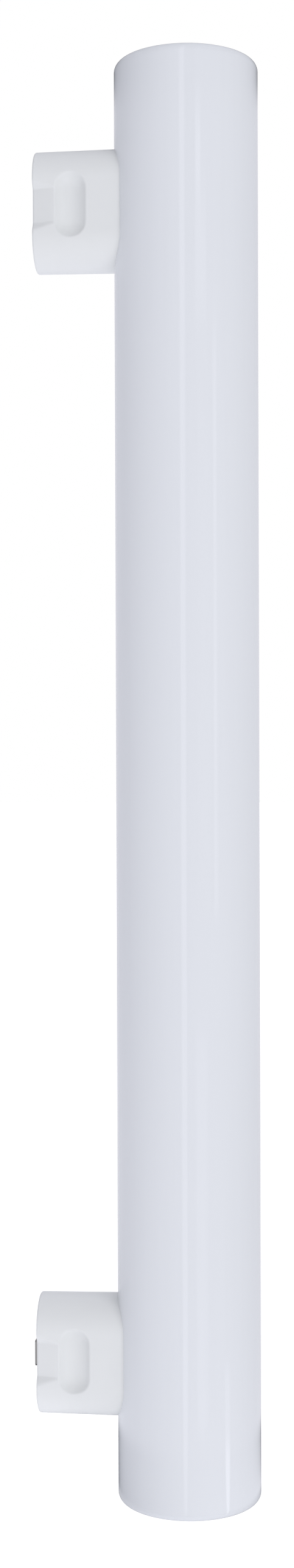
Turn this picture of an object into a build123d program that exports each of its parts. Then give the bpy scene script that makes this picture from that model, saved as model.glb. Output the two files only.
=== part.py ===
from build123d import *
from math import radians, tan
import os

# Linear tube lamp, in millimetres: a sealed opal tube with two push-in bases on its side.
# The tube stands on its flat lower end. The origin is the middle of that end and +Z runs up the tube.
# The bases stand out of the tube's side towards -X.

# Opal tube, one closed envelope with flat ends and a rounded shoulder
tube_diameter = 30.0
tube_length = 300.0
shoulder_radius = 1.7

# Bases: plugs of stadium section, seated on the tube by a saddle
base_spacing = 240.0  # between the middles of the two bases, along the tube
base_tall = 25.5  # along the tube, where the base leaves it
base_thick = 14.4  # across the tube, where the base leaves it
base_reach = 16.5  # from the tube's side to the end face
base_draft = 0.6  # degrees on every side, so that the plug narrows towards its end face
rim_chamfer = 0.35  # lead-in round the end face

# Detent pocket in each broad side, where the holder's spring snaps in: a scoop with ball ends
pocket_inset = 4.7  # from the end face to the pocket's outer edge
pocket_wide = 6.5  # along the plug
pocket_tall = 13.5
pocket_deep = 1.7

# Lead-in ramp from the end face up to the pocket, for the same spring
ramp_floor = 7.0  # height of the flat floor
ramp_mouth_deep = 1.2  # at the end face
ramp_lip_deep = 0.1  # at the pocket's outer edge
ramp_wall_angle = 55.0  # degrees that each side wall leans outwards

# Contacts: rivets with a low round head on the end face and a shank in the base
contact_diameter = 6.0
contact_chamfer = 0.3
upper_contact_proud = 0.55
lower_contact_proud = 1.1
shank_diameter = 2.6
shank_length = 5.0
shank_clearance = 0.05

# Places that follow from the sizes above
tube_radius = tube_diameter / 2
base_end = tube_radius + base_reach
pocket_middle = base_end - pocket_inset - pocket_wide / 2
scoop_radius = ((pocket_wide / 2) ** 2 + pocket_deep**2) / (2 * pocket_deep)
cutter_margin = 1.0  # how far the ramp's cutter stands clear of the broad side


def side_face(distance):
    """Half the base's thickness, at a distance from the tube's axis."""
    return base_thick / 2 - (distance - tube_radius) * tan(radians(base_draft))


def ramp_points(distance):
    """Outline of the ramp's cutter at a distance from the tube's axis, across and along the tube."""
    climb = (ramp_mouth_deep - ramp_lip_deep) / pocket_inset
    floor = side_face(distance) - ramp_mouth_deep + climb * (base_end - distance)
    outside = base_thick / 2 + cutter_margin
    half_floor = ramp_floor / 2
    half_mouth = half_floor + (outside - floor) * tan(radians(ramp_wall_angle))
    return [(floor, -half_floor), (outside, -half_mouth), (outside, half_mouth), (floor, half_floor)]


os.makedirs("parts", exist_ok=True)

with BuildPart() as opal_tube:
    with BuildSketch(Plane.XY):
        Circle(tube_radius)
    extrude(amount=tube_length)
    fillet(opal_tube.edges().filter_by(GeomType.CIRCLE), shoulder_radius)

opal_tube.part.label = "opal_tube"
export_step(opal_tube.part, "parts/opal_tube.step")

bases = (
    ("upper", (tube_length + base_spacing) / 2, upper_contact_proud),
    ("lower", (tube_length - base_spacing) / 2, lower_contact_proud),
)

for place, middle, contact_proud in bases:
    root_plane = Plane((-tube_radius, 0, middle), x_dir=(0, 1, 0), z_dir=(-1, 0, 0))
    end_plane = Plane((-base_end, 0, middle), x_dir=(0, 1, 0), z_dir=(-1, 0, 0))

    with BuildPart() as base:
        # Plug: drafted from the tube's side outwards, straight from there into the saddle
        with BuildSketch(root_plane) as section:
            SlotOverall(base_tall, base_thick, rotation=90)
        extrude(amount=base_reach, taper=base_draft)
        chamfer(base.faces().sort_by(Axis.X)[0].edges(), rim_chamfer)
        extrude(section.sketch, amount=-tube_radius)

        # Saddle that fits the tube's side
        with BuildSketch(Plane.XY.offset(middle - base_tall)):
            Circle(tube_radius)
        extrude(amount=2 * base_tall, mode=Mode.SUBTRACT)

        # Pocket and ramp, the same on both broad sides
        for side in (-1, 1):
            scoop_across = side * (side_face(pocket_middle) + scoop_radius - pocket_deep)
            scoop_middle = (-pocket_middle, scoop_across, middle)
            with BuildSketch(Plane(scoop_middle, x_dir=(1, 0, 0), z_dir=(0, -1, 0))):
                SlotCenterToCenter(pocket_tall - pocket_wide, 2 * scoop_radius, rotation=90)
                inner_half = (Align.MAX, Align.CENTER)
                Rectangle(scoop_radius, 2 * pocket_tall, align=inner_half, mode=Mode.SUBTRACT)
            revolve(axis=Axis(scoop_middle, (0, 0, 1)), mode=Mode.SUBTRACT)

            for distance in (base_end, pocket_middle):
                with BuildSketch(Plane((-distance, 0, middle), x_dir=(0, side, 0), z_dir=(-1, 0, 0))):
                    with BuildLine():
                        Polyline(*ramp_points(distance), close=True)
                    make_face()
            loft(ruled=True, mode=Mode.SUBTRACT)

        # Blind hole for the contact's shank
        with BuildSketch(end_plane):
            Circle(shank_diameter / 2 + shank_clearance)
        extrude(amount=-(shank_length + shank_clearance), mode=Mode.SUBTRACT)

    with BuildPart() as contact:
        with BuildSketch(end_plane):
            Circle(contact_diameter / 2)
        extrude(amount=contact_proud)
        chamfer(contact.faces().sort_by(Axis.X)[0].edges(), contact_chamfer)
        with BuildSketch(end_plane):
            Circle(shank_diameter / 2)
        extrude(amount=-shank_length)

    base.part.label = place + "_base"
    export_step(base.part, "parts/" + place + "_base.step")
    contact.part.label = place + "_contact"
    export_step(contact.part, "parts/" + place + "_contact.step")
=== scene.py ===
from collections import namedtuple
from math import copysign, cos, pi, radians, sin, sqrt, tan

import bmesh
import bpy
from bpy.props import FloatProperty, FloatVectorProperty, PointerProperty
from mathutils import Matrix, Vector


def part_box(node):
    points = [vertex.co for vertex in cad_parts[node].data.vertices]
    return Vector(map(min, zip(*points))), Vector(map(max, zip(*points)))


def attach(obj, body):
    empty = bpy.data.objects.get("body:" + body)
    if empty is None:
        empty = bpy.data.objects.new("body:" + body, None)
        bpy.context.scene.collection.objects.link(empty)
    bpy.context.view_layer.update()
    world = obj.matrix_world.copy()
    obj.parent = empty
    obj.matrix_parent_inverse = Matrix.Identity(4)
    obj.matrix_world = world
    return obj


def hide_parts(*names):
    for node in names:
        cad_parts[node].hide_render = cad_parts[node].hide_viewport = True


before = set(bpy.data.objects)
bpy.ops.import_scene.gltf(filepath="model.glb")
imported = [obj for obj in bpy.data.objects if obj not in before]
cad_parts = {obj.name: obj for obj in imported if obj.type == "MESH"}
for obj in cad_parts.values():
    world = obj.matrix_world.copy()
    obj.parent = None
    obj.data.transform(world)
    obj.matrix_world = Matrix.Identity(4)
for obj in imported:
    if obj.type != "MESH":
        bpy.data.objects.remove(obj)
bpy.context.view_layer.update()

bl_info = {
    "name": "Tube Lamp",
    "version": (1, 0, 0),
    "blender": (4, 5, 0),
    "location": "View3D > Sidebar > Tube Lamp",
    "description": "Opal tube lamp with two push-in bases on its side, and a plain stage for it",
    "category": "Add Mesh",
}

MM = 0.001
TUBE_LOW, TUBE_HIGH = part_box("opal_tube")
BASE_LOW, BASE_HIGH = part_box("upper_base")
BASE_PLACES = ("upper", "lower")
TOUCH = 0.005 * MM  # points nearer to each other than this are one
CRISP_TURN = radians(40)  # edges that turn further than this aren't shaded smooth

# Places of a Mix node's sockets, which share their names: two inputs, then the output
NUMBER_A, NUMBER_B, NUMBER_MIXED = 2, 3, 0
COLOUR_A, COLOUR_B, COLOUR_MIXED = 6, 7, 2

# Stage, in metres
FLOOR_HALF = 8.0
LIGHT_DISTANCE = 1.5
SOFT_BOX_WIDE = 0.6
CLIP_NEAR, CLIP_FAR = 0.01, 50
SENSOR_WIDE = 36  # the one length in millimetres

# Light that the camera sees
SKY_WHITE = 1.0
PAPER_WHITE = 0.86  # light that makes the paper white together with its own shading
PAPER_GREY = 0.3  # tone of that shading, in which the lamp's shadow shows

# Where fades start and end: metres from the tube's axis on the floor, angles from level in the sky
GLOW_FADE = (0.07, 0.11)
SHADE_FADE = (0.046, 0.064)
FOOT_FADE = (0.017, 0.02)
WALL_FADE = (radians(17.5), radians(18.5))
CEILING_FADE = (radians(25), radians(35))

# Bright streaks that the glass mirrors. Each stands so many degrees to the right of the camera, and half of
# its width is in degrees too. In the sky it runs from one sine of the height angle to another, and on the
# floor from one distance from the tube's axis to another.
Streak = namedtuple("Streak", "turn half_wide strength start end")
STREAK_SOFTNESS = 0.2  # of half its width, on each long edge
STREAK_FADE = 0.01  # each way from its start and its end
SKY_STREAKS = (
    Streak(turn=-6.5, half_wide=4, strength=0.95, start=-1.0, end=1.0),
    Streak(turn=19, half_wide=4, strength=1.3, start=0.27, end=0.302),
    Streak(turn=23, half_wide=9, strength=0.6, start=0.215, end=0.265),
    Streak(turn=45.5, half_wide=3, strength=0.8, start=-1.0, end=0.21),
)
FLOOR_STREAKS = (
    Streak(turn=-6.5, half_wide=4, strength=0.95, start=0.0, end=FLOOR_HALF),
    Streak(turn=45.5, half_wide=3, strength=0.8, start=1.7, end=FLOOR_HALF),
    Streak(turn=21, half_wide=9, strength=0.45, start=0.07, end=0.77),
    Streak(turn=63, half_wide=4.5, strength=1.9, start=0.0, end=0.06),
    Streak(turn=63, half_wide=4.5, strength=0.7, start=0.06, end=0.12),
)


def linear(hex_colour):
    """Linear channels of an sRGB hex colour."""
    channels = [int(hex_colour[place:place + 2], 16) / 255 for place in (0, 2, 4)]
    return [c / 12.92 if c <= 0.04045 else ((c + 0.055) / 1.055) ** 2.4 for c in channels]


def length(name, description, metres):
    """A length that the user may change."""
    return FloatProperty(
        name=name, description=description, default=metres, min=0, precision=5, unit="LENGTH"
    )


def angle(name, description, degrees):
    """An angle that the user may change."""
    return FloatProperty(
        name=name, description=description, default=radians(degrees), precision=4, unit="ROTATION"
    )


def colour(name, description, hex_colour):
    """A colour that the user may change."""
    return FloatVectorProperty(
        name=name, description=description, default=linear(hex_colour), min=0, max=1, subtype="COLOR"
    )


def level(name, description, strength):
    """A strength of light that the user may change."""
    return FloatProperty(name=name, description=description, default=strength, min=0)


def sides(name, description, strengths):
    """Strengths of light along the three axes that the user may change."""
    return FloatVectorProperty(name=name, description=description, default=strengths, min=0, subtype="XYZ")


class TubeSettings(bpy.types.PropertyGroup):
    """Sizes and colour of the opal tube"""

    radius: length("Radius", "Outside of the tube", TUBE_HIGH.x)
    tall: length("Length", "From the lower end to the upper end", TUBE_HIGH.z - TUBE_LOW.z)
    shoulder: length("Shoulder", "Rounding between the wall and the flat ends", 1.7 * MM)
    glass: colour("Opal glass", "Glass with white bodies in it", "E5E8EB")


class BaseSettings(bpy.types.PropertyGroup):
    """Sizes and colour of the two bases"""

    tall: length("Height", "Along the tube, where the base leaves it", BASE_HIGH.z - BASE_LOW.z)
    thick: length("Thickness", "Across the tube, where the base leaves it", BASE_HIGH.y - BASE_LOW.y)
    end: length("End face", "From the tube's axis to the end face", -BASE_LOW.x)
    draft: angle("Draft", "Taper of every side, towards the end face", 0.6)
    rim: length("Rim", "Rounding round the end face", 0.4 * MM)
    softness: length("Softness", "Rounding of the moulded edges of pocket and ramp", 0.3 * MM)
    pocket_inset: length("Pocket inset", "From the end face to the pocket's outer edge", 4.7 * MM)
    pocket_wide: length("Pocket width", "Along the plug", 6.5 * MM)
    pocket_tall: length("Pocket height", "Along the tube", 13.5 * MM)
    pocket_deep: length("Pocket depth", "At its deepest", 1.7 * MM)
    ramp_floor: length("Ramp floor", "Height of the ramp's flat floor", 7.0 * MM)
    ramp_mouth: length("Ramp mouth", "Depth of the ramp at the end face", 1.2 * MM)
    ramp_lip: length("Ramp lip", "Depth of the ramp at the pocket's outer edge", 0.1 * MM)
    ramp_wall: angle("Ramp wall", "How far each wall of the ramp leans outwards", 55)
    plastic: colour("White polyester", "Moulded plastic of the bases", "E6E8E7")


class ContactSettings(bpy.types.PropertyGroup):
    """Sizes and colour of the two contacts"""

    tall: length("Height", "Height of the flat-sided head, along the tube", 5.4 * MM)
    wide: length("Width", "Width of the head, across the tube", 2.8 * MM)
    corner: length("Corner", "Rounding of the head's four corners", 0.5 * MM)
    edge: length("Edge", "Rounding of the head's outer edge", 0.2 * MM)
    shank: length("Shank", "Diameter of the shank", 2.6 * MM)
    shank_deep: length("Shank depth", "How far the shank goes into the base", 5.0 * MM)
    clearance: length("Clearance", "Between the shank and its hole", 0.05 * MM)
    nickel: colour("Nickel", "Nickel plate on the contacts", "B9B8B4")


class StageSettings(bpy.types.PropertyGroup):
    """Camera and light of the stage"""

    distance: length("Distance", "Level distance from the tube's axis to the camera", 430.5 * MM)
    height: length("Height", "Camera above the floor", 153.98 * MM)
    azimuth: angle("Azimuth", "Camera's place round the tube, to the right of straight in front", 4.545)
    pan: angle("Pan", "Camera's aim to the left of the tube's axis", 1.137)
    tilt: angle("Tilt", "Camera's aim below level", 0.53)
    roll: angle("Roll", "Camera's turn about its aim", -0.185)
    lens: FloatProperty(name="Lens", description="Focal length", default=47.168, min=1, unit="CAMERA")
    key_turn: angle("Key turn", "Soft box, to the right of the camera", 28)
    key_low: length("Key foot", "Lower edge of the soft box", 0.0)
    key_high: length("Key head", "Upper edge of the soft box", 0.5)
    key_power: FloatProperty(
        name="Key light", description="Power of the soft box", default=6.4, min=0, unit="POWER"
    )
    fill: colour("Fill", "Tint of the light from sky and floor", "F7F7FF")
    sky_plus: sides("Sky plus", "Light from the right, from behind and from above", (0.41, 1.2, 1.39))
    sky_minus: sides("Sky minus", "Light from the left and the front", (0.1, 0.15, 0.0))
    floor_plus: sides("Floor plus", "Light off the floor, on the right and behind", (0.08, 1.0, 0.0))
    floor_minus: sides("Floor minus", "Light off the floor, on the left and in front", (0.79, 0.83, 0.0))
    floor_middle: FloatVectorProperty(
        name="Floor middle", description="Point that the floor's four sides meet at",
        default=(-8 * MM, 30 * MM, 0), unit="LENGTH",
    )
    foot_glow: level("Foot glow", "More light off the floor close to the foot, on the left", 0.87)
    mirror_plus: sides("Walls plus", "Mirrored walls, on the right and behind", (1.2, 0.83, 0.0))
    mirror_minus: sides("Walls minus", "Mirrored walls, on the left and in front", (0.8, 0.79, 0.0))
    shade_plus: sides("Shade plus", "Mirrored past the walls, on the right and behind", (1.0, 0.0, 0.0))
    shade_minus: sides("Shade minus", "Mirrored past the walls, on the left and in front", (0.0, 0.6, 0.0))
    ceiling: level("Ceiling", "Mirrored high above and close beside the foot", 0.4)
    streak: level("Streaks", "Strength of the streaks that the glass mirrors", 1.0)


class TubeLampSettings(bpy.types.PropertyGroup):
    """Everything that the panel shows"""

    tube: PointerProperty(type=TubeSettings)
    base: PointerProperty(type=BaseSettings)
    contact: PointerProperty(type=ContactSettings)
    stage: PointerProperty(type=StageSettings)


def add_node(tree, kind, settings, inputs):
    """Adds a node with its settings. An input is a value, or the output that feeds it."""
    node = tree.nodes.new(kind)
    for name, value in settings.items():
        setattr(node, name, value)
    for socket, value in inputs.items():
        if isinstance(value, bpy.types.NodeSocket):
            tree.links.new(value, node.inputs[socket])
        else:
            node.inputs[socket].default_value = value
    return node


def new_material(name):
    """An empty material and its node tree."""
    material = bpy.data.materials.new(name)
    material.use_nodes = True
    material.node_tree.nodes.clear()
    return material, material.node_tree


def tones(tree, factor, darkest, base):
    """Colour that goes from a share of the base's brightness up to the base."""
    shade = [channel * darkest for channel in base] + [1]
    mix = add_node(
        tree, "ShaderNodeMix", {"data_type": "RGBA"},
        {"Factor": factor, COLOUR_A: shade, COLOUR_B: list(base) + [1]},
    )
    return mix.outputs[COLOUR_MIXED]


def opal_glass(settings):
    """Drawn opal glass: a white body under a smooth clear skin, with faint lines along the draw."""
    material, tree = new_material("opal glass")
    place = add_node(tree, "ShaderNodeTexCoord", {}, {}).outputs["Object"]
    # Draw lines along the tube, with their spacing and how much longer than wide they are
    line_gap = 1.5 * MM
    line_stretch = 100
    drawn = add_node(
        tree, "ShaderNodeMapping", {}, {"Vector": place, "Scale": (1, 1, 1 / line_stretch)}
    ).outputs[0]
    lines = add_node(
        tree, "ShaderNodeTexNoise", {}, {"Vector": drawn, "Scale": 1 / line_gap, "Detail": 2.0}
    ).outputs[0]
    # Clouds of the white body
    cloud_size = 40 * MM
    clouds = add_node(
        tree, "ShaderNodeTexNoise", {}, {"Vector": place, "Scale": 1 / cloud_size, "Detail": 3.0}
    ).outputs[0]
    tone = add_node(
        tree, "ShaderNodeMath", {"operation": "ADD", "use_clamp": True}, {0: lines, 1: clouds}
    ).outputs[0]
    skin = add_node(
        tree, "ShaderNodeMapRange", {}, {"Value": clouds, "To Min": 0.06, "To Max": 0.1}
    ).outputs[0]
    bump = add_node(
        tree, "ShaderNodeBump", {}, {"Height": lines, "Strength": 0.1, "Distance": 0.02 * MM}
    ).outputs[0]
    white = tones(tree, tone, 0.975, settings.glass)
    glass = add_node(
        tree, "ShaderNodeBsdfPrincipled", {},
        {"Base Color": white, "Roughness": skin, "IOR": 1.52, "Normal": bump},
    )
    add_node(tree, "ShaderNodeOutputMaterial", {}, {"Surface": glass.outputs[0]})
    return material


def moulded_polyester(settings):
    """Moulded white polyester: a satin skin with the fine grit of a spark-eroded mould."""
    material, tree = new_material("moulded polyester")
    place = add_node(tree, "ShaderNodeTexCoord", {}, {}).outputs["Object"]
    # Grit is about 0.1 mm on the real skin, and is drawn coarser so that it shows
    grit_size = 0.3 * MM
    grit = add_node(
        tree, "ShaderNodeTexNoise", {}, {"Vector": place, "Scale": 1 / grit_size, "Detail": 2.0}
    ).outputs[0]
    # Flow of the melt
    flow_size = 6 * MM
    flow = add_node(
        tree, "ShaderNodeTexNoise", {}, {"Vector": place, "Scale": 1 / flow_size, "Detail": 3.0}
    ).outputs[0]
    skin = add_node(
        tree, "ShaderNodeMapRange", {}, {"Value": flow, "To Min": 0.36, "To Max": 0.5}
    ).outputs[0]
    bump = add_node(
        tree, "ShaderNodeBump", {}, {"Height": grit, "Strength": 0.12, "Distance": 0.02 * MM}
    ).outputs[0]
    white = tones(tree, flow, 0.97, settings.plastic)
    plastic = add_node(
        tree, "ShaderNodeBsdfPrincipled", {},
        {"Base Color": white, "Roughness": skin, "IOR": 1.55, "Normal": bump},
    )
    add_node(tree, "ShaderNodeOutputMaterial", {}, {"Surface": plastic.outputs[0]})
    return material


def nickel_plate(settings):
    """Nickel plate on drawn brass: a dull grey mirror with fine lines along the draw."""
    material, tree = new_material("nickel plate")
    place = add_node(tree, "ShaderNodeTexCoord", {}, {}).outputs["Object"]
    # Draw lines are about 0.1 mm apart on the real head, and are drawn coarser so that they show
    line_gap = 0.3 * MM
    line_stretch = 20
    drawn = add_node(
        tree, "ShaderNodeMapping", {}, {"Vector": place, "Scale": (1, 1, 1 / line_stretch)}
    ).outputs[0]
    lines = add_node(
        tree, "ShaderNodeTexNoise", {}, {"Vector": drawn, "Scale": 1 / line_gap, "Detail": 2.0}
    ).outputs[0]
    # Spots of tarnish
    spot_size = 1.5 * MM
    tarnish = add_node(
        tree, "ShaderNodeTexNoise", {}, {"Vector": place, "Scale": 1 / spot_size, "Detail": 3.0}
    ).outputs[0]
    skin = add_node(
        tree, "ShaderNodeMapRange", {}, {"Value": tarnish, "To Min": 0.38, "To Max": 0.52}
    ).outputs[0]
    bump = add_node(
        tree, "ShaderNodeBump", {}, {"Height": lines, "Strength": 0.2, "Distance": 0.01 * MM}
    ).outputs[0]
    grey = tones(tree, tarnish, 0.85, settings.nickel)
    plate = add_node(
        tree, "ShaderNodeBsdfPrincipled", {},
        {"Base Color": grey, "Metallic": 1.0, "Roughness": skin, "Normal": bump},
    )
    add_node(tree, "ShaderNodeOutputMaterial", {}, {"Surface": plate.outputs[0]})
    return material


def finish_piece(bm, name, material, node):
    """Turns a finished bmesh into a piece that rides on the body and stands for a CAD node."""
    bmesh.ops.remove_doubles(bm, verts=bm.verts, dist=TOUCH)
    bmesh.ops.recalc_face_normals(bm, faces=bm.faces)
    mesh = bpy.data.meshes.new(name)
    bm.to_mesh(mesh)
    bm.free()
    mesh.shade_smooth()
    mesh.set_sharp_from_angle(angle=CRISP_TURN)
    mesh.materials.append(material)
    piece = bpy.data.objects.new(name, mesh)
    bpy.context.scene.collection.objects.link(piece)
    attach(piece, "root")
    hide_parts(node)


class TUBELAMP_OT_add_tube(bpy.types.Operator):
    """Add the closed opal tube, with flat ends and a rounded shoulder"""

    bl_idname = "tube_lamp.add_tube"
    bl_label = "Add Opal Tube"

    def execute(self, context):
        tube = context.scene.tube_lamp.tube
        steps_round = 192
        shoulder_steps = 10
        loop_gap = 0.4 * MM
        bm = bmesh.new()
        bmesh.ops.create_cone(
            bm, cap_ends=True, segments=steps_round, radius1=tube.radius, radius2=tube.radius,
            depth=tube.tall, matrix=Matrix.Translation((0, 0, tube.tall / 2)),
        )
        corners = [edge for edge in bm.edges if abs(edge.verts[0].co.z - edge.verts[1].co.z) < TOUCH]
        bmesh.ops.bevel(
            bm, geom=corners, offset=tube.shoulder, segments=shoulder_steps, profile=0.5,
            affect="EDGES", material=-1,
        )
        # A loop on each side of a shoulder keeps the wall and the end shaded straight
        for height in (tube.shoulder + loop_gap, tube.tall - tube.shoulder - loop_gap):
            bmesh.ops.bisect_plane(
                bm, geom=bm.verts[:] + bm.edges[:] + bm.faces[:], plane_co=(0, 0, height),
                plane_no=(0, 0, 1),
            )
        ends = [face for face in bm.faces if len(face.verts) == steps_round]
        bmesh.ops.inset_individual(bm, faces=ends, thickness=loop_gap)
        finish_piece(bm, "opal_tube_glass", opal_glass(tube), "opal_tube")
        return {"FINISHED"}


def smooth_min(a, b, softness):
    """The smaller of two values, rounded off where they meet."""
    blend = max(softness - abs(a - b), 0) / softness
    return min(a, b) - blend * blend * softness / 4


class Plug:
    """Shape of a base: where its skin lies for a point of its section."""

    def __init__(self, lamp, middle):
        self.base = lamp.base
        self.contact = lamp.contact
        self.tube_radius = lamp.tube.radius
        self.middle = middle
        self.half_flat = (lamp.base.tall - lamp.base.thick) / 2
        half_wide = lamp.base.pocket_wide / 2
        deep = lamp.base.pocket_deep
        self.scoop_radius = (half_wide**2 + deep**2) / (2 * deep)
        self.scoop_at = lamp.base.end - lamp.base.pocket_inset - half_wide
        self.scoop_half = (lamp.base.pocket_tall - lamp.base.pocket_wide) / 2

    def side(self, outward):
        """Half the plug's thickness at a distance from the tube's axis."""
        return self.base.thick / 2 - max(outward - self.tube_radius, 0) * tan(self.base.draft)

    def cut(self, outward, height):
        """How far from the middle plane the pocket and the ramp leave the broad side."""
        climb = (self.base.ramp_mouth - self.base.ramp_lip) / self.base.pocket_inset
        floor = self.side(outward) - self.base.ramp_mouth + climb * (self.base.end - outward)
        ramp = floor + max(abs(height) - self.base.ramp_floor / 2, 0) / tan(self.base.ramp_wall)
        past = max(abs(height) - self.scoop_half, 0)
        room = self.scoop_radius**2 - (outward - self.scoop_at) ** 2 - past**2
        if room <= 0:
            return ramp
        axis = self.side(self.scoop_at) + self.scoop_radius - self.base.pocket_deep
        return smooth_min(ramp, axis - sqrt(room), self.base.softness)

    def drawn_in(self, section, inset):
        """Point of the section, moved in from its outline."""
        core = max(-self.half_flat, min(self.half_flat, section.z))
        return section - Vector((0, section.y, section.z - core)).normalized() * inset

    def skin(self, section, outward, inset):
        """Point of the skin, drawn in by the draft, the inset, the pocket and the ramp."""
        point = self.drawn_in(section, self.base.thick / 2 - self.side(outward) + inset)
        across = smooth_min(abs(point.y), self.cut(outward, point.z) - inset, self.base.softness)
        return Vector((-outward, copysign(across, point.y), self.middle + point.z))

    def saddle(self, section, inset):
        """Point of the saddle, which lies on the tube's side."""
        point = self.drawn_in(section, inset)
        outward = sqrt(self.tube_radius**2 - point.y**2)
        return Vector((-outward, point.y, self.middle + point.z))

    def hole(self, section, outward):
        """Point of the round hole for the contact's shank."""
        radius = self.contact.shank / 2 + self.contact.clearance
        around = Vector((0, section.y, section.z)).normalized() * radius
        return Vector((-outward, around.y, self.middle + around.z))


def grow(bm, rim, section, place):
    """Extrudes a rim of edges, and puts each new point where its section's point belongs."""
    made = bmesh.ops.extrude_edge_only(bm, edges=rim)["geom"]
    for point in made:
        if isinstance(point, bmesh.types.BMVert):
            point.co = place(point[section])
    return [edge for edge in made if isinstance(edge, bmesh.types.BMEdge) and edge.is_boundary]


class TUBELAMP_OT_add_bases(bpy.types.Operator):
    """Add the two bases, with a saddle, detent pockets and lead-in ramps"""

    bl_idname = "tube_lamp.add_bases"
    bl_label = "Add Bases"

    def execute(self, context):
        lamp = context.scene.tube_lamp
        material = moulded_polyester(lamp.base)
        for place in BASE_PLACES:
            low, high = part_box(place + "_base")
            bm = self.plug_mesh(lamp, Plug(lamp, (low.z + high.z) / 2))
            finish_piece(bm, place + "_base_moulding", material, place + "_base")
        return {"FINISHED"}

    def plug_mesh(self, lamp, plug):
        """One base as rings of its section, from the saddle out to the end face and into the hole."""
        base = lamp.base
        grain = 0.18 * MM
        saddle_rings = 12
        plain_rings = 6
        rim_steps = 5
        arc_steps = 2 * round(pi * base.thick / 2 / grain / 2)
        flat_steps = round((base.tall - base.thick) / grain)

        # Section where the base leaves the tube: a circle pulled apart, laid on the tube's side
        bm = bmesh.new()
        section = bm.verts.layers.float_vector.new("section")
        turn = Matrix.Rotation(pi / 2, 4, "Y") @ Matrix.Rotation(pi / arc_steps / 2, 4, "Z")
        bmesh.ops.create_circle(bm, segments=2 * arc_steps, radius=base.thick / 2, matrix=turn)
        for point in bm.verts:
            point.co.z += copysign(plug.half_flat, point.co.z)
        flats = [edge for edge in bm.edges if edge.verts[0].co.z * edge.verts[1].co.z < 0]
        bmesh.ops.subdivide_edges(bm, edges=flats, cuts=flat_steps - 1)
        for point in bm.verts:
            point[section] = point.co
            point.co = plug.saddle(point[section], 0)
        root = bm.edges[:]

        # Saddle, closed along its middle
        rim = root
        for ring in range(1, saddle_rings + 1):
            inset = base.thick / 2 * ring / saddle_rings
            rim = grow(bm, rim, section, lambda point: plug.saddle(point, inset))

        # Plain skin beside the tube, then fine rings over pocket and ramp
        pocket_start = base.end - base.pocket_inset - base.pocket_wide - 2 * grain
        plain_step = (pocket_start - plug.tube_radius) / plain_rings
        fine_rings = round((base.end - base.rim - pocket_start) / grain)
        fine_step = (base.end - base.rim - pocket_start) / fine_rings
        rings = [(plug.tube_radius + plain_step * (ring + 0.5), 0) for ring in range(plain_rings)]
        rings += [(pocket_start + fine_step * ring, 0) for ring in range(fine_rings + 1)]
        # Rounded rim, with a loop inside it that keeps the end face flat
        for step in range(1, rim_steps + 1):
            turned = pi / 2 * step / rim_steps
            rings.append((base.end - base.rim * (1 - sin(turned)), base.rim * (1 - cos(turned))))
        rings.append((base.end, base.rim + grain))
        rim = root
        for reach, inset in rings:
            rim = grow(bm, rim, section, lambda point: plug.skin(point, reach, inset))

        # End face in to the contact's hole, and the hole's wall and floor
        hole_floor = base.end - lamp.contact.shank_deep - lamp.contact.clearance
        for reach in (base.end, hole_floor):
            rim = grow(bm, rim, section, lambda point: plug.hole(point, reach))
        bmesh.ops.contextual_create(bm, geom=rim)
        bm.verts.layers.float_vector.remove(section)
        return bm


class TUBELAMP_OT_add_contacts(bpy.types.Operator):
    """Add the two contacts, with a flat-sided head and a round shank"""

    bl_idname = "tube_lamp.add_contacts"
    bl_label = "Add Contacts"

    def execute(self, context):
        lamp = context.scene.tube_lamp
        material = nickel_plate(lamp.contact)
        for place in BASE_PLACES:
            low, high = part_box(place + "_contact")
            bm = self.rivet_mesh(lamp.contact, -lamp.base.end, low.x, (low.z + high.z) / 2)
            finish_piece(bm, place + "_contact_rivet", material, place + "_contact")
        return {"FINISHED"}

    def rivet_mesh(self, contact, seat, front, middle):
        """One contact: a block on the end face with its edges rounded, joined to a shank behind it."""
        corner_steps = 6
        edge_steps = 4
        shank_steps = 48
        bm = bmesh.new()
        centre = Matrix.Translation(((seat + front) / 2, 0, middle))
        bmesh.ops.create_cube(
            bm, size=1, matrix=centre @ Matrix.Diagonal((seat - front, contact.wide, contact.tall, 1))
        )
        corners = [edge for edge in bm.edges if (edge.verts[0].co - edge.verts[1].co).yz.length < TOUCH]
        bmesh.ops.bevel(
            bm, geom=corners, offset=contact.corner, segments=corner_steps, profile=0.5,
            affect="EDGES", material=-1,
        )
        outer = [edge for edge in bm.edges if all(abs(point.co.x - front) < TOUCH for point in edge.verts)]
        bmesh.ops.bevel(
            bm, geom=outer, offset=contact.edge, segments=edge_steps, profile=0.5,
            affect="EDGES", material=-1,
        )
        shank_middle = Matrix.Translation((seat + contact.shank_deep / 2, 0, middle))
        bmesh.ops.create_cone(
            bm, cap_ends=True, segments=shank_steps, radius1=contact.shank / 2, radius2=contact.shank / 2,
            depth=contact.shank_deep, matrix=shank_middle @ Matrix.Rotation(pi / 2, 4, "Y"),
        )
        meeting = [
            face for face in bm.faces if all(abs(point.co.x - seat) < TOUCH for point in face.verts)
        ]
        bmesh.ops.delete(bm, geom=meeting, context="FACES_ONLY")
        bmesh.ops.bridge_loops(bm, edges=[edge for edge in bm.edges if edge.is_boundary])
        return bm


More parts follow.
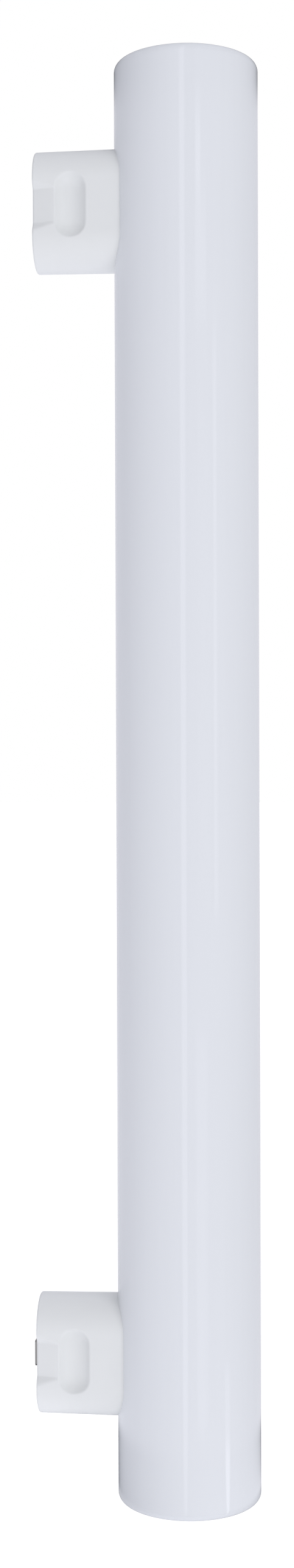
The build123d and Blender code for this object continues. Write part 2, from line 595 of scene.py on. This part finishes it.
class TUBELAMP_OT_add_stage(bpy.types.Operator):
    """Add the floor, the light and the camera"""

    bl_idname = "tube_lamp.add_stage"
    bl_label = "Add Stage"

    def execute(self, context):
        stage = context.scene.tube_lamp.stage
        self.add_floor(context, stage)
        self.add_world(context, stage)
        self.add_soft_box(context, stage)
        self.add_camera(context, stage)
        context.scene.view_settings.view_transform = "Standard"
        return {"FINISHED"}

    def add_floor(self, context, stage):
        """A wide floor of white paper."""
        bm = bmesh.new()
        bmesh.ops.create_grid(bm, x_segments=2, y_segments=2, size=FLOOR_HALF)
        mesh = bpy.data.meshes.new("floor")
        bm.to_mesh(mesh)
        bm.free()
        mesh.materials.append(self.white_paper(stage))
        floor = bpy.data.objects.new("floor", mesh)
        context.scene.collection.objects.link(floor)

    def white_paper(self, stage):
        """Paper that is white to the camera, with a faint shadow, and lights the lamp from each side."""
        material, tree = new_material("white paper")
        path = add_node(tree, "ShaderNodeLightPath", {}, {}).outputs
        place = add_node(tree, "ShaderNodeTexCoord", {}, {}).outputs["Object"]
        # The paper's own shading is left out of reflections, where floor and sky then meet evenly
        tone = add_node(
            tree, "ShaderNodeMix", {"data_type": "RGBA"},
            {"Factor": path["Is Glossy Ray"], COLOUR_A: [PAPER_GREY] * 3 + [1], COLOUR_B: (0, 0, 0, 1)},
        ).outputs[COLOUR_MIXED]
        paper = add_node(tree, "ShaderNodeBsdfDiffuse", {}, {"Color": tone})
        reach = add_node(
            tree, "ShaderNodeVectorMath", {"operation": "LENGTH"}, {0: place}
        ).outputs["Value"]
        near, shade, foot = (
            add_node(
                tree, "ShaderNodeMapRange", {"interpolation_type": "SMOOTHSTEP"},
                {"Value": reach, "From Min": start, "From Max": end, "To Min": 1.0, "To Max": 0.0},
            ).outputs[0]
            for start, end in (GLOW_FADE, SHADE_FADE, FOOT_FADE)
        )
        # Light that the paper gives to the lamp, by the side of a point behind the foot that it lies on
        apart = add_node(
            tree, "ShaderNodeVectorMath", {"operation": "SUBTRACT"}, {0: place, 1: stage.floor_middle}
        ).outputs[0]
        turned = add_node(
            tree, "ShaderNodeVectorMath", {"operation": "NORMALIZE"}, {0: apart}
        ).outputs[0]
        pool = self.sided_light(tree, turned, stage.floor_plus, stage.floor_minus)
        glow = self.sided_light(tree, turned, (0, 0, 0), (stage.foot_glow, 0, 0))
        given = add_node(
            tree, "ShaderNodeMath", {"operation": "MULTIPLY_ADD"}, {0: near, 1: glow, 2: pool}
        ).outputs[0]
        # In reflections it is a pale wall far out, in shade nearer in, and grey close beside the foot
        outward = add_node(
            tree, "ShaderNodeVectorMath", {"operation": "NORMALIZE"}, {0: place}
        ).outputs[0]
        mirrored = self.mirrored_light(tree, stage, outward, shade, foot)
        mirrored = self.with_streaks(tree, stage, mirrored, place, reach, FLOOR_STREAKS)
        seen = self.seen_light(tree, stage, path, given, mirrored, PAPER_WHITE)
        light = add_node(tree, "ShaderNodeEmission", {}, seen)
        both = add_node(tree, "ShaderNodeAddShader", {}, {0: paper.outputs[0], 1: light.outputs[0]})
        add_node(tree, "ShaderNodeOutputMaterial", {}, {"Surface": both.outputs[0]})
        return material

    def add_world(self, context, stage):
        """Sky that is white to the camera, and lights the lamp from each side."""
        world = bpy.data.worlds.new("studio")
        world.use_nodes = True
        tree = world.node_tree
        tree.nodes.clear()
        path = add_node(tree, "ShaderNodeLightPath", {}, {}).outputs
        way = add_node(tree, "ShaderNodeTexCoord", {}, {}).outputs["Generated"]
        given = self.sided_light(tree, way, stage.sky_plus, stage.sky_minus)
        # In reflections it is a pale wall near level, in shade higher up, and a grey ceiling above that
        rise = add_node(tree, "ShaderNodeSeparateXYZ", {}, {0: way}).outputs["Z"]
        steep = add_node(tree, "ShaderNodeMath", {"operation": "ABSOLUTE"}, {0: rise}).outputs[0]
        shade, high = (
            add_node(
                tree, "ShaderNodeMapRange", {"interpolation_type": "SMOOTHSTEP"},
                {"Value": steep, "From Min": sin(start), "From Max": sin(end)},
            ).outputs[0]
            for start, end in (WALL_FADE, CEILING_FADE)
        )
        mirrored = self.mirrored_light(tree, stage, way, shade, high)
        mirrored = self.with_streaks(tree, stage, mirrored, way, rise, SKY_STREAKS)
        seen = self.seen_light(tree, stage, path, given, mirrored, SKY_WHITE)
        light = add_node(tree, "ShaderNodeBackground", {}, seen)
        add_node(tree, "ShaderNodeOutputWorld", {}, {"Surface": light.outputs[0]})
        context.scene.world = world

    def sided_light(self, tree, way, plus, minus):
        """Strength that goes smoothly from one side's value to the next, by direction."""
        total = 0.0
        for sign, strengths in ((1, plus), (-1, minus)):
            turned = add_node(
                tree, "ShaderNodeVectorMath", {"operation": "SCALE"}, {0: way, "Scale": sign}
            ).outputs[0]
            facing = add_node(
                tree, "ShaderNodeVectorMath", {"operation": "MAXIMUM"}, {0: turned, 1: (0, 0, 0)}
            ).outputs[0]
            share = add_node(
                tree, "ShaderNodeVectorMath", {"operation": "MULTIPLY"}, {0: facing, 1: facing}
            ).outputs[0]
            side = add_node(
                tree, "ShaderNodeVectorMath", {"operation": "DOT_PRODUCT"}, {0: share, 1: strengths}
            ).outputs["Value"]
            total = add_node(
                tree, "ShaderNodeMath", {"operation": "ADD"}, {0: total, 1: side}
            ).outputs[0]
        return total

    def mirrored_light(self, tree, stage, way, shade, beyond):
        """What the glass mirrors: pale walls, shade past their edges, and one grey beyond the shade."""
        wall = self.sided_light(tree, way, stage.mirror_plus, stage.mirror_minus)
        dim = self.sided_light(tree, way, stage.shade_plus, stage.shade_minus)
        past = add_node(
            tree, "ShaderNodeMix", {}, {"Factor": beyond, NUMBER_A: dim, NUMBER_B: stage.ceiling}
        ).outputs[NUMBER_MIXED]
        return add_node(
            tree, "ShaderNodeMix", {}, {"Factor": shade, NUMBER_A: wall, NUMBER_B: past}
        ).outputs[NUMBER_MIXED]

    def with_streaks(self, tree, stage, light, way, along, streaks):
        """Adds streaks, each a narrow sector that starts where the glass mirrors it."""
        for streak in streaks:
            direction = self.level_direction(stage.azimuth + radians(streak.turn))
            glass = self.level_direction(stage.azimuth + radians(streak.turn / 2)) * TUBE_HIGH.x
            flat = add_node(
                tree, "ShaderNodeVectorMath", {"operation": "MULTIPLY_ADD"},
                {0: way, 1: (1, 1, 0), 2: -glass},
            ).outputs[0]
            heading = add_node(
                tree, "ShaderNodeVectorMath", {"operation": "NORMALIZE"}, {0: flat}
            ).outputs[0]
            facing = add_node(
                tree, "ShaderNodeVectorMath", {"operation": "DOT_PRODUCT"}, {0: heading, 1: direction}
            ).outputs["Value"]
            outer, inner = (
                cos(radians(share * streak.half_wide))
                for share in (1 + STREAK_SOFTNESS, 1 - STREAK_SOFTNESS)
            )
            shine = add_node(
                tree, "ShaderNodeMapRange", {"interpolation_type": "SMOOTHSTEP"},
                {"Value": facing, "From Min": outer, "From Max": inner, "To Min": 0.0,
                 "To Max": streak.strength * stage.streak},
            ).outputs[0]
            for limit, before in ((streak.start, 0.0), (streak.end, 1.0)):
                shown = add_node(
                    tree, "ShaderNodeMapRange", {"interpolation_type": "SMOOTHSTEP"},
                    {"Value": along, "From Min": limit - STREAK_FADE, "From Max": limit + STREAK_FADE,
                     "To Min": before, "To Max": 1.0 - before},
                ).outputs[0]
                shine = add_node(
                    tree, "ShaderNodeMath", {"operation": "MULTIPLY"}, {0: shine, 1: shown}
                ).outputs[0]
            light = add_node(
                tree, "ShaderNodeMath", {"operation": "ADD"}, {0: light, 1: shine}
            ).outputs[0]
        return light

    def seen_light(self, tree, stage, path, given, mirrored, white):
        """Strength and colour of a light: white to the camera, its own look in reflections, tinted fill."""
        lit = add_node(
            tree, "ShaderNodeMix", {},
            {"Factor": path["Is Glossy Ray"], NUMBER_A: given, NUMBER_B: mirrored},
        ).outputs[NUMBER_MIXED]
        direct = add_node(
            tree, "ShaderNodeMath", {"operation": "MAXIMUM"},
            {0: path["Is Camera Ray"], 1: path["Is Transmission Ray"]},
        ).outputs[0]
        strength = add_node(
            tree, "ShaderNodeMix", {}, {"Factor": direct, NUMBER_A: lit, NUMBER_B: white}
        ).outputs[NUMBER_MIXED]
        tint = add_node(
            tree, "ShaderNodeMix", {"data_type": "RGBA"},
            {"Factor": direct, COLOUR_A: list(stage.fill) + [1], COLOUR_B: (1, 1, 1, 1)},
        ).outputs[COLOUR_MIXED]
        return {"Strength": strength, "Color": tint}

    def level_direction(self, turn):
        """Level direction at an angle round the tube, to the right of straight in front."""
        return Vector((sin(turn), -cos(turn), 0))

    def add_soft_box(self, context, stage):
        """A low upright soft box, to the right of the camera. The glass doesn't mirror it."""
        direction = self.level_direction(stage.azimuth + stage.key_turn)
        light = bpy.data.lights.new("soft box", "AREA")
        light.shape = "RECTANGLE"
        light.size = SOFT_BOX_WIDE
        light.size_y = stage.key_high - stage.key_low
        light.energy = stage.key_power
        lamp = bpy.data.objects.new("soft box", light)
        lamp.location = direction * LIGHT_DISTANCE + Vector((0, 0, (stage.key_low + stage.key_high) / 2))
        lamp.rotation_euler = direction.to_track_quat("Z", "Y").to_euler()
        lamp.visible_camera = False
        lamp.visible_glossy = False
        context.scene.collection.objects.link(lamp)

    def add_camera(self, context, stage):
        """Camera a little right of straight in front, about level with the tube's middle."""
        turn = stage.azimuth + stage.pan
        forward = Vector((-sin(turn) * cos(stage.tilt), cos(turn) * cos(stage.tilt), -sin(stage.tilt)))
        sideways = Vector((cos(turn), sin(turn), 0))
        upright = sideways.cross(forward)
        right = cos(stage.roll) * sideways + sin(stage.roll) * upright
        up = cos(stage.roll) * upright - sin(stage.roll) * sideways
        place = self.level_direction(stage.azimuth) * stage.distance + Vector((0, 0, stage.height))
        aim = Matrix((right, up, -forward)).transposed().to_4x4()
        camera = bpy.data.objects.new("camera", bpy.data.cameras.new("camera"))
        camera.matrix_world = Matrix.Translation(place) @ aim
        camera.data.lens = stage.lens
        camera.data.sensor_width = SENSOR_WIDE
        camera.data.clip_start = CLIP_NEAR
        camera.data.clip_end = CLIP_FAR
        context.scene.collection.objects.link(camera)
        context.scene.camera = camera


class TUBELAMP_PT_panel(bpy.types.Panel):
    """Lists the sizes, the colours and what can be added"""

    bl_idname = "TUBELAMP_PT_panel"
    bl_label = "Tube Lamp"
    bl_space_type = "VIEW_3D"
    bl_region_type = "UI"
    bl_category = "Tube Lamp"

    def draw(self, context):
        lamp = context.scene.tube_lamp
        for group, operator in (
            (lamp.tube, TUBELAMP_OT_add_tube),
            (lamp.base, TUBELAMP_OT_add_bases),
            (lamp.contact, TUBELAMP_OT_add_contacts),
            (lamp.stage, TUBELAMP_OT_add_stage),
        ):
            box = self.layout.box()
            for name in group.__annotations__:
                box.prop(group, name)
            box.operator(operator.bl_idname)


CLASSES = (
    TubeSettings,
    BaseSettings,
    ContactSettings,
    StageSettings,
    TubeLampSettings,
    TUBELAMP_OT_add_tube,
    TUBELAMP_OT_add_bases,
    TUBELAMP_OT_add_contacts,
    TUBELAMP_OT_add_stage,
    TUBELAMP_PT_panel,
)


def register():
    for cls in CLASSES:
        bpy.utils.register_class(cls)
    bpy.types.Scene.tube_lamp = PointerProperty(type=TubeLampSettings)


def unregister():
    del bpy.types.Scene.tube_lamp
    for cls in reversed(CLASSES):
        bpy.utils.unregister_class(cls)


def main():
    register()
    bpy.ops.tube_lamp.add_tube()
    bpy.ops.tube_lamp.add_bases()
    bpy.ops.tube_lamp.add_contacts()
    bpy.ops.tube_lamp.add_stage()


if __name__ == "__main__":
    main()
